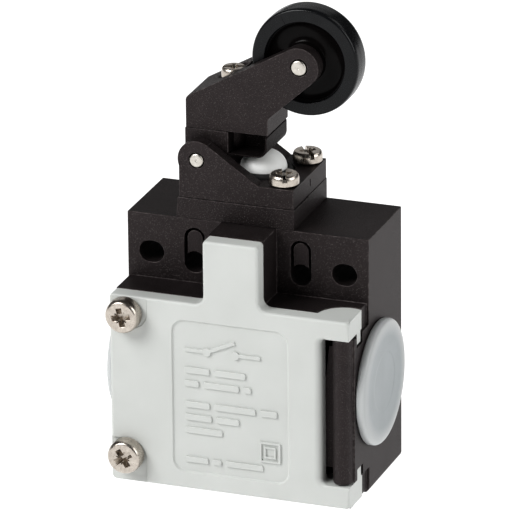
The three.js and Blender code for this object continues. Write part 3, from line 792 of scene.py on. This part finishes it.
def hinge_and_screw_tools():
    """Channels for the cover's hooks, the hinge pin's bore and the screw holes."""
    tools = []
    for low, high in ((33.2, 35.7), (5.3, 7.7)):
        tools.append(cut(
            cylinder("Z", HINGE, 5.35, low, high),
            cylinder("Z", HINGE, 2.75, low - 1, high + 1),
        ))
    tools.append(cylinder("Z", HINGE, 1.1, 5, 36, 32))
    for z in COVER_SCREWS.values():
        tools.append(cylinder("Y", (COVER_SCREW_X, z), 2.3, -30, -20, 40))
    return tools + screw_holes(1.6, 46.5, 60, 32)


def make_base():
    shell = cut(base_blank(), *base_tools())
    bar = cylinder("Z", HINGE, BAR_RADIUS, HINGE_LOW, HINGE_HIGH, 96)
    root = block(20.7, BODY_X, HINGE[1], RIM_Y + 0.5, HINGE_LOW, HINGE_HIGH)
    joined(shell, joined(bar, root))
    cut(shell, *hinge_and_screw_tools())
    smoothed(bevelled(shell, 0.16))
    settle(shell, "housing_shell", "base", HOUSING, "housing_plastic", "enclosure_base")


def make_slot_inserts():
    """A filler in each slot, held by a web, with a round hole at its foot."""
    for side, word in SIDES:
        x = side * SLOT_X
        body = prism(rectangle(x - 1.6, x + 1.6, 43.6, 50.6, 1.55), -19.2, -1, steps=10)
        web = prism(rectangle(x - 2.08, x + 2.08, 42, 51.08, 1.98), -15.5, -4, steps=10)
        cut(joined(body, web), cylinder("Y", (x, 44), 2.14, -25, 5))
        smoothed(bevelled(body, 0.15))
        node = f"slot_insert_{word}"
        settle(body, f"slot_filler_{word}", "base", HOUSING, "housing_plastic", node)


def make_plugs():
    profile = [
        (0, 24.6), (8.3, 24.6), (8.3, 17.4), (9.0, 17.4), (9.3, 17.6), (9.6, 18.2), (9.75, 25.05),
        (12.25, 25.05), (12.5, 25.15), (12.6, 25.4), (12.6, 26.0), (12.55, 26.3), (12.42, 26.53),
        (12.2, 26.71), (11.85, 26.83), (11.4, 26.89), (10.8, 26.9), (9.9, 26.88), (8.8, 26.82),
        (7.8, 26.76), (6.4, 26.73), (6.0, 26.7), (5.6, 26.64), (0, 26.6),
    ]
    for side, word in SIDES:
        made = smoothed(turned(profile, "X", (ENTRY_Y, ENTRY_Z), 128, side))
        node = f"entry_plug_{word}"
        settle(made, f"closing_plug_{word}", f"plug_{word}", PLUG, "plug_plastic", node)


# ---- screws ----
FACING = {"front": Matrix.Rotation(math.radians(90), 4, "X"), "up": Matrix.Identity(4)}


def screw_profile(head, face, height, shaft, length):
    """Half the section of a pan-head screw: point, thread, neck, head."""
    profile = [(0, -length), (shaft * 0.6, -length), (shaft, -length + shaft * 0.5)]
    thread = shaft * 0.22
    count = max(2, int((length - shaft * 1.5) / (2.4 * thread)))
    step = (length - shaft * 1.5) / count
    for k in range(count):
        bottom = -length + shaft * 0.5 + k * step
        profile += [(shaft, bottom + 0.1 * step), (shaft - thread, bottom + 0.5 * step)]
    profile += [(shaft, -shaft), (shaft, 0), (head - 0.12, 0), (head, 0.12), (head, height * 0.5)]
    for a, b in arc((0, 0), 1, 0, 90, 6)[1:]:
        profile.append((face + (head - face) * a, height * (0.5 + 0.5 * b)))
    return profile + [(0, height)]


def recess_tools(head, height, slot):
    """A tapered cross, a slot right across to a share of its depth, and two fine ticks."""
    above = 0.4
    depth = height * 0.62
    reach, half = head * 0.62, head * 0.19
    tools = [
        prism(rectangle(-reach, reach, -half, half), above, -depth, "Z", taper=0.5),
        prism(rectangle(-half, half, -reach, reach), above, -depth, "Z", taper=0.5),
    ]
    if slot:
        across = rectangle(-head * 1.2, head * 1.2, -head * 0.13, head * 0.13)
        tools.append(prism(across, above, -depth * slot, "Z"))
    for tick in (45, 135):
        tool = prism(rectangle(-head * 0.4, head * 0.4, -0.11, 0.11), above, -depth * 0.4, "Z")
        tool.data.transform(Matrix.Rotation(math.radians(tick), 4, "Z"))
        tools.append(tool)
    for tool in tools:
        tool.data.transform(Matrix.Translation((0, 0, height)))
    return tools


def screw(place, facing, head, face, height, shaft, length, turn, slot=0.0):
    """A pan-head screw with a cross recess; place is where the head's seat is."""
    body = turned(screw_profile(head, face, height, shaft, length), segments=72)
    cut(body, *recess_tools(head, height, slot))
    smoothed(bevelled(body, 0.07, angle=40))
    spin = Matrix.Rotation(math.radians(turn), 4, "Z")
    body.data.transform(Matrix.Translation(place) @ FACING[facing] @ spin)
    return body


def make_screws():
    size = {"head": 3.5, "face": 2.8, "height": 2.85, "shaft": 1.7, "length": 7.3}
    for word, turn in (("upper", 12), ("lower", 33)):
        place = (COVER_SCREW_X, -30.55, COVER_SCREWS[word])
        made = screw(place, "front", turn=turn, **size)
        settle(made, f"cover_fastener_{word}", "cover", SCREW, "screw_steel", f"cover_screw_{word}")
    size = {"head": 2.95, "face": 2.35, "height": 2.1, "shaft": 1.3, "length": 14, "slot": 0.8}
    for word, turn in (("front", 112), ("rear", 128)):
        place = (HEAD_SCREW_X, HEAD_SCREWS[word], BRACKET_TOP + 0.3)
        made = screw(place, "up", turn=turn, **size)
        settle(made, f"head_fastener_{word}", "base", SCREW, "screw_steel", f"head_screw_{word}")
    size = {"head": 2.5, "face": 2.0, "height": 2.2, "shaft": 1.35, "length": 12.6, "slot": 0.7}
    made = screw((*FORK_SCREW, 79.9), "up", turn=20, **size)
    settle(made, "fork_fastener", "lever", SCREW, "screw_steel", "fork_screw")


def make_terminal_screws():
    size = {"head": 2.4, "face": 2.0, "height": 1.7, "shaft": 1.45, "length": 6, "slot": 0.5}
    turn = 0
    for kind, z in (("nc", 30.9), ("no", 12.1)):
        for side, word in SIDES:
            turn += 35
            made = screw((side * 6.2, -20.4, z), "front", turn=turn, **size)
            node = f"terminal_screw_{kind}_{word}"
            settle(made, f"clamp_screw_{kind}_{word}", "base", SCREW, "screw_steel", node)


# ---- cover ----
CUTOUT_X = 18.7  # left side of the cutout beside the hinge bar
CUTOUT_LOW, CUTOUT_HIGH = 5.2, 35.8
CUTOUT_CORNER = 1.3
ARM_REACH = 24.65
COVER_FOOT = 0.6
PANEL_FLOOR = COVER_FRONT + 0.38
MARK_BACK, MARK_FRONT = PANEL_FLOOR + 0.3, COVER_FRONT + 0.03


def cover_outline():
    """A plate with a tongue on top and a cutout for the hinge bar at the right."""
    left, tongue_left, tongue_right = -24.9, -5.4, 6.05
    return [
        (left, COVER_FOOT, 0.8), (ARM_REACH, COVER_FOOT, 0.8), (ARM_REACH, CUTOUT_LOW),
        (CUTOUT_X, CUTOUT_LOW, CUTOUT_CORNER), (CUTOUT_X, CUTOUT_HIGH, CUTOUT_CORNER),
        (ARM_REACH, CUTOUT_HIGH), (ARM_REACH, LEDGE_TOP, 0.8), (tongue_right, LEDGE_TOP, 1.8),
        (tongue_right, BODY_TOP, 0.75), (tongue_left, BODY_TOP, 0.75),
        (tongue_left, LEDGE_TOP, 1.8), (left, LEDGE_TOP, 0.8),
    ]


def cover_rounding(point):
    """Rounder along the upright side of the hinge cutout, almost sharp along its arms."""
    x, z = point
    if x < CUTOUT_X - 0.05 or not CUTOUT_LOW - 0.1 < z < CUTOUT_HIGH + 0.1:
        return 0.65
    share = min(1, max(0, (CUTOUT_X + CUTOUT_CORNER - x) / CUTOUT_CORNER))
    return 0.2 + 1.2 * share


def hinge_hook(low, high):
    """An arc behind the hinge bar, open towards the front and the left."""
    hook = cut(
        cylinder("Z", HINGE, 5, low, high, 96),
        cylinder("Z", HINGE, 3.1, low - 1, high + 1, 96),
    )
    left = block(10, HINGE[0], -40, -20, 0, 40)
    return cut(hook, left, block(10, 30, -40, HINGE[1] + 1.6, 0, 40))


def cover_knuckles():
    """The two arms' round ends, and a hook on each."""
    reach = block(16, ARM_REACH, COVER_FRONT + 0.9, -20, -1, 60)
    heights = ((COVER_FOOT, CUTOUT_LOW), (CUTOUT_HIGH, LEDGE_TOP))
    lower, upper = [cylinder("Z", HINGE, 5.6, *height, 96) for height in heights]
    joined(lower, upper, hinge_hook(5, 7.4), hinge_hook(33.5, 36))
    return common(lower, reach)


def seal_path(outwards):
    """The seal's loop round the chamber and the tongue's channel, moved outwards."""
    o = outwards
    return [
        (-23.5 - o, 12.4 - o), (-18.8 - o, 12.4 - o), (-18.8 - o, 1.7 - o), (15.2 + o, 1.7 - o),
        (15.2 + o, 38.6 + o), (4.6 + o, 38.6 + o), (4.6 + o, 51.8 + o), (-4.2 - o, 51.8 + o),
        (-4.2 - o, 38.6 + o), (-18.8 - o, 38.6 + o), (-18.8 - o, 30.2 + o), (-23.5 - o, 30.2 + o),
    ]


def seal_ring(half_width, back, front, corner=0.0):
    outer = [(x, z, corner) for x, z in seal_path(half_width)]
    inner = [(x, z, corner) for x, z in seal_path(-half_width)]
    return cut(prism(outer, front, back), prism(inner, front - 1, back + 1))


def panel_bar(x, z, width, height):
    """One raised mark on the cover's panel."""
    corner = min(width, height) * 0.3
    bar = prism(rectangle(x, x + width, z, z + height, corner), MARK_FRONT, MARK_BACK)
    return bevelled(bar, 0.12, 3)


def panel_frame(x, z, size, line):
    """A raised square outline."""
    square = prism(rectangle(x, x + size, z, z + size), MARK_FRONT, MARK_BACK)
    inside = prism(rectangle(x + line, x + size - line, z + line, z + size - line), -40, 0)
    return bevelled(cut(square, inside), 0.1, 3)


def switch_symbol():
    """An open contact: two lines, a tilted arm and two dots."""
    z, left, right, line = 29.6, -4.7, 1.2, 0.75
    marks = [panel_bar(x, z, 5.2, line) for x in (-9.4, right)]
    arm = panel_bar(left, z, 6.4, line)
    pivot = Matrix.Translation((left, 0, z + 0.3))
    arm.data.transform(pivot @ Matrix.Rotation(math.radians(-24), 4, "Y") @ pivot.inverted())
    marks.append(arm)
    for x in (left, right):
        dot = cylinder("Y", (x, z + 0.37), 0.85, COVER_FRONT, MARK_BACK)
        marks.append(bevelled(dot, 0.07))
    return marks


def panel_marks():
    """Plain raised bars in place of lettering, a switch symbol and a double square."""
    marks = []
    rows = [
        (25.1, 1.3, (5.2, 6.6)),
        (22.3, 1.3, (3.0, 7.4, 1.6)),
        (17.9, 1.3, (5.2, 8.6, 3.6)),
        (15.2, 1.3, (5.6, 4.8)),
        (12.5, 1.3, (7.8,)),
        (6.3, 1.2, (4.8, 1.8, 7.8)),
    ]
    for z, height, words in rows:
        x = -9.4
        for width in words:
            marks.append(panel_bar(x, z, width, height))
            x += width + 0.9
    marks += switch_symbol()
    return marks + [panel_frame(6.1, 8.3, 4.3, 0.4), panel_frame(7.05, 9.25, 2.4, 0.36)]


def cover_tools():
    """The panel, the dips round the screws, the seal's groove, a hollow back and the bores."""
    lower = [(-30, -5), (-17.5, -5), (-17.5, 9.6, 4), (-30, 9.6)]
    upper = [(-30, 45), (-30, 33), (-17.1, 33, 3.5), (-17.1, 45)]
    panel = rectangle(-12.2, 12.4, 3.8, 36.45, 2.6)
    tools = [
        prism(panel, COVER_FRONT - 0.38, PANEL_FLOOR, steps=8, taper=0.035),
        prism(lower, COVER_FRONT - 1, COVER_FRONT + 0.4, steps=12),
        prism(upper, COVER_FRONT - 1, COVER_FRONT + 0.15, steps=12),
        seal_ring(0.9, -26, -28),
        prism(rectangle(-13, 12.5, 7, 33.5, 1.5), -28.1, -26),
        cylinder("Z", HINGE, 1.1, 1.6, 38.4, 40),
    ]
    for z in COVER_SCREWS.values():
        tools.append(cylinder("Y", (COVER_SCREW_X, z), 2.1, -32, -26, 48))
    return tools


def make_cover():
    plate = pillow(cover_outline(), COVER_BACK, COVER_FRONT, cover_rounding)
    joined(plate, cover_knuckles())
    cut(plate, *cover_tools())
    smoothed(bevelled(plate, 0.11))
    settle(plate, "cover_moulding", "cover", COVER, "cover_plastic", "enclosure_cover")
    for number, mark in enumerate(panel_marks(), 1):
        smoothed(mark)
        settle(mark, f"panel_mark_{number:02d}", "cover", COVER, "cover_plastic")
    seal = smoothed(bevelled(seal_ring(0.6, COVER_BACK, -27.7, 0.4), 0.15, 3))
    settle(seal, "cover_gasket", "cover", RUBBER, "seal_rubber", "cover_seal")


# ---- head ----
DOME_POCKET = 4.95


def make_head_base():
    low, high = 53.15, HEAD_SPLIT + 0.03
    body = prism([(-14.7, low), (9.64, low), (9.64, high), (-14.4, high)], -19.6, -0.2)
    cut(
        body,
        cylinder("Z", (0, PLUNGER_Y), DOME_POCKET, 55, 58, 96),
        cylinder("Z", (0, PLUNGER_Y), 2.6, 52, 56, 64),
        block(8.9, 10, -18.9, -11.2, high - 0.22, 58),
        *screw_holes(1.8, 52, 58, 40),
    )
    smoothed(bevelled(body, 0.12))
    settle(body, "head_lower_block", "base", HEAD, "housing_plastic", "head_base")


def bracket_ear(y0, y1):
    """The sloping side that carries the pivot."""
    left, foot = -14.1, BRACKET_TOP - 0.5
    slope = [(left, foot), (2.2, foot), (2.16, 61.5), (-8.1, 68.54), PIVOT, (left, PIVOT[1])]
    return joined(prism(slope, y0, y1), cylinder("Y", PIVOT, 3.95, y0, y1, 96))


def make_bracket():
    front, back = -19.5, -0.25
    body = block(-14.1, 9.55, front, back, HEAD_SPLIT + 0.1, BRACKET_TOP)
    joined(body, bracket_ear(front, -16.9), bracket_ear(-3.1, back))
    cut(
        body,
        cylinder("Y", PIVOT, 1.6, -20, 1, 64),
        block(-15, -5.2, -16.4, -3.6, 59.6, 63),
        cylinder("Z", (0, PLUNGER_Y), DOME_POCKET, 57, 63, 96),
        cylinder("Z", (0, PLUNGER_Y), 6.1, 60.1, 63, 96),
        block(9.2, 10, -9.75, -9.45, 58.9, 60.4),
        *screw_holes(1.8, 57, 62, 40),
    )
    smoothed(bevelled(body, 0.13))
    settle(body, "head_upper_block", "base", HOUSING, "housing_plastic", "head_bracket")


def make_plunger():
    """A stem, and a hollow skirt closed by a dome."""
    skirt = [
        (0, 48.5), (1.9, 48.5), (2.1, 48.7), (2.1, 61.5),
        (3.9, 61.5), (3.9, 58), (4.5, 58), (4.65, 58.15),
    ]
    radius, foot, rise = 4.65, 61.9, 3.7
    dome = [(radius * a, foot + rise * b) for a, b in arc((0, 0), 1, 0, 90, 16)]
    body = smoothed(turned(skirt + dome, "Z", (0, PLUNGER_Y), 96))
    settle(body, "plunger_cap", "plunger", WHITE, "plunger_plastic", "plunger")


def make_head_seals():
    lip = [
        (4.9, 60.5), (5.8, 60.5), (5.8, 61.5), (5.6, 61.9), (5.2, 62.2), (5.0, 62.2), (4.9, 62.1),
    ]
    ring = smoothed(turned(lip, "Z", (0, PLUNGER_Y), 96))
    settle(ring, "plunger_lip_ring", "base", RUBBER, "seal_rubber", "plunger_wiper")
    gasket = [(3.7, 52.2), (4.7, 52.2), (4.7, BODY_TOP), (3.7, BODY_TOP)]
    ring = smoothed(bevelled(turned(gasket, "Z", (0, PLUNGER_Y), 64), 0.15))
    settle(ring, "head_gasket_ring", "base", RUBBER, "seal_rubber", "head_gasket")


# ---- lever and roller ----
def make_lever():
    """The part that turns on the pivot, under the left end of the fork."""
    right = -5.15
    outline = [
        (-14.1, LEVER_LOW, 0.5), (right, LEVER_LOW), (right, LEVER_HIGH), (-14.1, LEVER_HIGH),
    ]
    body = prism(outline, *LEVER_Y)
    joined(
        body,
        cylinder("Z", FORK_SCREW, 2.7, LEVER_LOW + 0.1, LEVER_HIGH, 64),
        cylinder("Y", PIVOT, 2.9, *LEVER_Y, 64),
    )
    cut(body, cylinder("Y", PIVOT, 1.6, -17, -3, 64), cylinder("Z", FORK_SCREW, 1.7, 64, 72, 40))
    smoothed(bevelled(body, 0.13))
    settle(body, "lever_moulding", "lever", HOUSING, "housing_plastic", "lever_arm")


def make_shoe():
    """The part that presses the dome, with a pocket in either side and a wall between them."""
    left, right = -5.1, 2.8
    outline = [
        (left, LEVER_LOW), (right, LEVER_LOW, 2), (right, 70.05), (2.3, LEVER_HIGH), (left, LEVER_HIGH),
    ]
    shoe = prism(outline, *LEVER_Y, steps=10)
    pocket = [(-5.2, 66.2), (2.45, 66.2, 1.65), (2.45, 71), (-5.2, 71)]
    half_wall = 1.1
    for y0, y1 in ((-17, LEVER_MID - half_wall), (LEVER_MID + half_wall, -3)):
        cut(shoe, prism(pocket, y0, y1, steps=10))
    cut(shoe, cylinder("Z", FORK_SCREW, 2.85, 64, 72, 64))
    smoothed(bevelled(shoe, 0.08))
    settle(shoe, "lever_shoe", "lever", SHOE_PAINTED_SHADE, "housing_plastic", "lever_arm")


def make_fork():
    """The angled arm, with a slot for the roller between its two cheeks."""
    foot, left, right = 70.6, -13.9, 3.05
    eye = arc(AXLE, 4, 119.5, -47.2, 24)
    outline = [(left, foot), (left, 76.89, 1.2), *eye, (right, 74.05, 1.5), (right, foot)]
    body = prism(outline, *LEVER_Y)
    cheek = 2.9
    cut(
        body,
        block(-2.5, 30, LEVER_Y[0] + cheek, LEVER_Y[1] - cheek, 75.2, 100),
        cylinder("Z", FORK_SCREW, 3.05, 79.6, 90, 64),
        cylinder("Z", FORK_SCREW, 1.7, 70, 80, 40),
        cylinder("Y", AXLE, 1.75, -17, -3, 64),
    )
    smoothed(bevelled(body, 0.13))
    settle(body, "fork_moulding", "lever", HOUSING, "housing_plastic", "roller_fork")


def make_pin(name, place, radius, front, back, body, node):
    """A plain pin along Y with chamfered ends and a centre mark in the front one."""
    tip, edge = radius - 0.3, radius - 0.08
    profile = [
        (0, -back), (tip, -back), (edge, -back + 0.1), (radius, -back + 0.3),
        (radius, -front - 0.3), (edge, -front - 0.1), (tip, -front),
        (0.34, -front), (0.2, -front - 0.12), (0, -front - 0.16),
    ]
    made = smoothed(turned(profile, "Y", place, 64, -1), 60)
    settle(made, name, body, PIN, "pin_steel", node)


def make_roller():
    """A satin tyre round a glossy web, whose darker colour is painted shade for the recess; each
    profile is one face, and the other mirrors it.
    """
    half = 2.6
    tyre = [
        (8.0, half - 1.3), (8.05, half - 0.72), (8.2, half - 0.62), (8.25, half - 0.12),
        (8.4, half), (10.45, half), (10.64, half - 0.07), (10.78, half - 0.22),
        (10.9, half - 0.5), (10.97, half - 1.0),
    ]
    tread = [(10.98, 0.5), (11, 0.2), (11, -0.5), (10.96, -0.7)]
    web = [
        (1.85, half - 0.05), (2.0, half), (3.6, half), (3.85, half - 0.1), (3.95, half - 0.35),
        (3.95, half - 0.8), (4.2, half - 1.1), (5.0, half - 1.3), (6.2, half - 1.42),
        (7.3, half - 1.3), (7.7, half - 1.05), (7.9, half - 0.9), (8.1, half - 0.9),
    ]
    parts = (("roller_tyre", tyre, tread, ROLLER), ("roller_web", web, [], WEB_PAINTED_SHADE))
    for name, face, outside, material in parts:
        mirrored = [(radius, -level) for radius, level in reversed(face)]
        whole = face + outside + mirrored
        profile = [(radius, LEVER_MID + level) for radius, level in whole]
        made = smoothed(turned(profile, "Y", AXLE, 160), 40)
        settle(made, name, "roller", material, "roller_plastic", "roller")
    make_seam(LEVER_MID - half)


def make_seam(face_y):
    """The fine line that a mould leaves across the tyre's front face."""
    angle = math.radians(28)
    spoke = Vector((-math.sin(angle), 0, math.cos(angle)))
    centre = Vector((AXLE[0], face_y, AXLE[1]))
    line = [centre + spoke * (8.4 + 1.8 * k / 6) for k in range(7)]
    seam = smoothed(tube(line, 0.05, lambda k: Vector((0, 1, 0)), sides=6))
    settle(seam, "roller_seam", "roller", ROLLER, "roller_plastic")


# ---- springs and contacts ----
def make_springs():
    """Coils for the plunger and the carrier, and two that ride on the carrier."""
    sizes = {
        "plunger_spring": (55.3, 61.2, 3.5, 0.6, 4, "plunger_slide"),
        "contact_spring": (6.5, 12.7, 1.65, 0.5, 5, "carrier_slide"),
    }
    for node, (low, high, radius, wire, turns, joint) in sizes.items():
        made = smoothed(coil((0, PLUNGER_Y), low, high, radius, wire, turns), 80)
        settle(made, f"{node}_coil", "base", SPRING, "spring_steel", node)
        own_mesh(made)
    for node, low in (("bridge_spring_nc", 22.9), ("bridge_spring_no", 19.6)):
        made = smoothed(coil((0, PLUNGER_Y), low, low + 2.8, 0.87, 0.3, 4, 20), 80)
        settle(made, f"{node}_coil", "carrier", SPRING, "spring_steel", node)


def refined(node, body, material, slot, width=0.12):
    """The CAD shape with rounded edges and a finished surface."""
    made = copy_of(node)
    bm = bmesh.new()
    bm.from_mesh(made.data)
    bmesh.ops.remove_doubles(bm, verts=bm.verts, dist=1e-3)
    flat = math.radians(0.5)
    bmesh.ops.dissolve_limit(bm, angle_limit=flat, verts=bm.verts, edges=bm.edges)
    bm.to_mesh(made.data)
    bm.free()
    smoothed(bevelled(made, width))
    settle(made, f"{node}_detail", body, material, slot, node)


def make_contacts():
    refined("contact_housing", "base", BLOCK, "housing_plastic")
    refined("contact_carrier", "carrier", CARRIER, "carrier_plastic")
    for kind in ("nc", "no"):
        refined(f"bridge_{kind}", "carrier", BRASS, "contact_brass", 0.1)
        for word in ("left", "right"):
            refined(f"fixed_contact_{kind}_{word}", "base", BRASS, "contact_brass", 0.1)
            refined(f"terminal_clamp_{kind}_{word}", "base", CLAMP, "clamp_steel")


def make_hinge_pin():
    profile = [(0, 2), (0.65, 2), (0.8, 2.2), (0.8, 37.8), (0.65, 38), (0, 38)]
    made = smoothed(turned(profile, "Z", HINGE, 48), 60)
    settle(made, "cover_hinge_pin", "base", PIN, "spring_steel", "hinge_pin")


make_base()
make_witness_marks()
make_slot_inserts()
make_plugs()
make_screws()
make_terminal_screws()
make_cover()
make_head_base()
make_bracket()
make_plunger()
make_head_seals()
make_lever()
make_shoe()
make_fork()
make_pin("lever_pivot", PIVOT, 1.42, -19.7, -0.1, "base", "pivot_pin")
make_pin("roller_pin", AXLE, 1.55, LEVER_Y[0] - 0.3, LEVER_Y[1] + 0.3, "lever", "roller_axle")
make_roller()
make_springs()
make_contacts()
make_hinge_pin()
